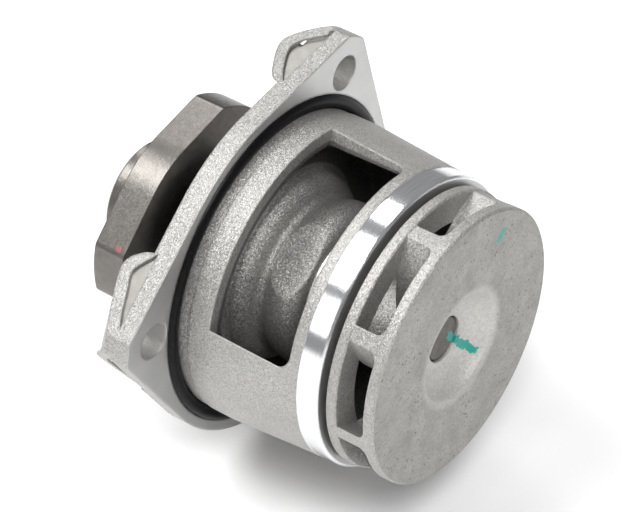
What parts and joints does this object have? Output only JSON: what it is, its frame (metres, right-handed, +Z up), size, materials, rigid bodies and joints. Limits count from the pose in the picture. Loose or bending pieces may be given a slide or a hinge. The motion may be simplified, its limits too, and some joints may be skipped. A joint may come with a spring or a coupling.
{
  "type": "engine water pump",
  "caption": "Cartridge water pump for an engine: cast body with side inlet window and O-ring flange, closed impeller at the front, lobed drive coupling at the back.",
  "frame": {"origin": "centre of the flange's mounting face, on the shaft's axis", "axes": "Y along the shaft, -Y towards the impeller, +Y towards the drive coupling; +Z up, X across"},
  "size_m": [0.1016, 0.0954, 0.1024],
  "materials": {
    "cast_aluminium": "sand cast, with machined flange face and land",
    "black_rubber": "smooth, slightly glossy",
    "cast_wheel": "as cast, matte",
    "ground_steel": "ground",
    "coupling_steel": "fine, satin",
    "bearing_steel": "ground and polished",
    "cage_plastic": "moulded",
    "seal_rubber": "moulded",
    "pressed_steel": "drawn stainless",
    "carbon": "lapped carbon graphite",
    "ceramic": "lapped alumina ceramic"
  },
  "bodies": {
    "housing": {"pump_housing": "cast_aluminium", "flange_o_ring": "black_rubber", "bearing_outer_ring": "bearing_steel", "front_bearing_seal": "seal_rubber", "rear_bearing_seal": "seal_rubber", "seal_case": "pressed_steel", "seal_spring": "pressed_steel", "seal_bellows": "seal_rubber", "carbon_ring_holder": "pressed_steel", "carbon_ring": "carbon"},
    "rotor": {"pump_shaft": "ground_steel", "impeller": "cast_wheel", "drive_coupling": "coupling_steel", "ceramic_ring": "ceramic", "ceramic_ring_boot": "seal_rubber", "seal_sleeve": "pressed_steel", "water_slinger": "seal_rubber"},
    "ball_row": {"bearing_balls": "bearing_steel", "ball_cage": "cage_plastic"},
    "roller_row": {"bearing_rollers": "bearing_steel", "roller_cage": "cage_plastic"}
  },
  "joints": [
    {"name": "shaft_spin", "type": "hinge", "parent": "housing", "child": "rotor", "pos_m": [0, 0, 0], "axis": [0, -1, 0], "continuous": true},
    {"name": "ball_row_orbit", "type": "hinge", "parent": "housing", "child": "ball_row", "pos_m": [0, 0.0144, 0], "axis": [0, -1, 0], "continuous": true},
    {"name": "roller_row_orbit", "type": "hinge", "parent": "housing", "child": "roller_row", "pos_m": [0, 0.0036, 0], "axis": [0, -1, 0], "continuous": true}
  ],
  "couplings": [
    {"joint": "ball_row_orbit", "follows": "shaft_spin", "ratio": 0.351},
    {"joint": "roller_row_orbit", "follows": "shaft_spin", "ratio": 0.383}
  ]
}
